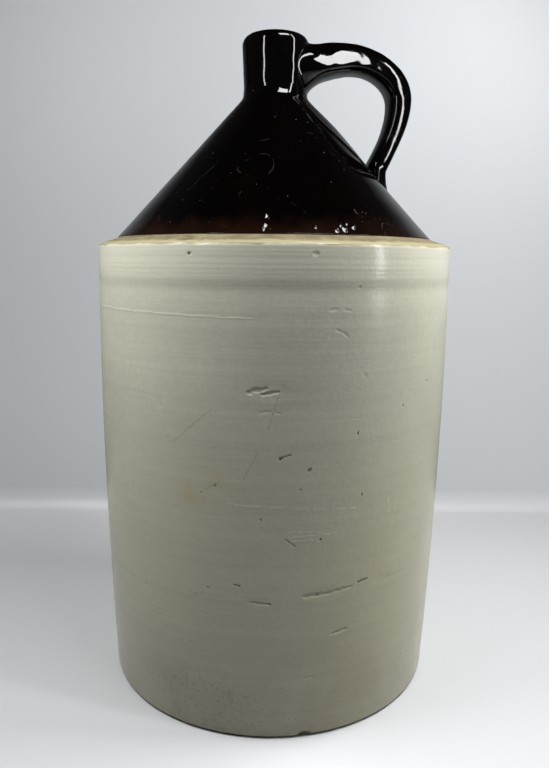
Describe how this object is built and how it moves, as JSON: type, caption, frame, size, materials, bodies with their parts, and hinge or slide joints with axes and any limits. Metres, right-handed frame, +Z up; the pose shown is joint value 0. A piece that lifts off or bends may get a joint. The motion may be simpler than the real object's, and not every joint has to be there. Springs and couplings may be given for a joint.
{
  "type": "stoneware jug",
  "caption": "Tall straight-walled stoneware jug with a bare shoulder ledge, a glossy conical top, a short neck for a cork and a strap handle, for storing and pouring liquids.",
  "frame": {"origin": "centre of the standing face, on the surface that the jug stands on", "axes": "+Z up along the jug's axis of revolution, +X towards the handle"},
  "size_m": [0.2838, 0.2838, 0.5129],
  "materials": {
    "stoneware_clay": "bare fired clay, matt",
    "white_glaze": "satin gloss",
    "brown_glaze": "high gloss",
    "slip_lining": "satin gloss"
  },
  "bodies": {
    "root": {"crock_body": "stoneware_clay", "shoulder_cone": "stoneware_clay", "neck": "stoneware_clay", "handle": "stoneware_clay", "white_glaze": "white_glaze", "brown_glaze": "brown_glaze", "slip_lining": "slip_lining"}
  },
  "joints": []
}
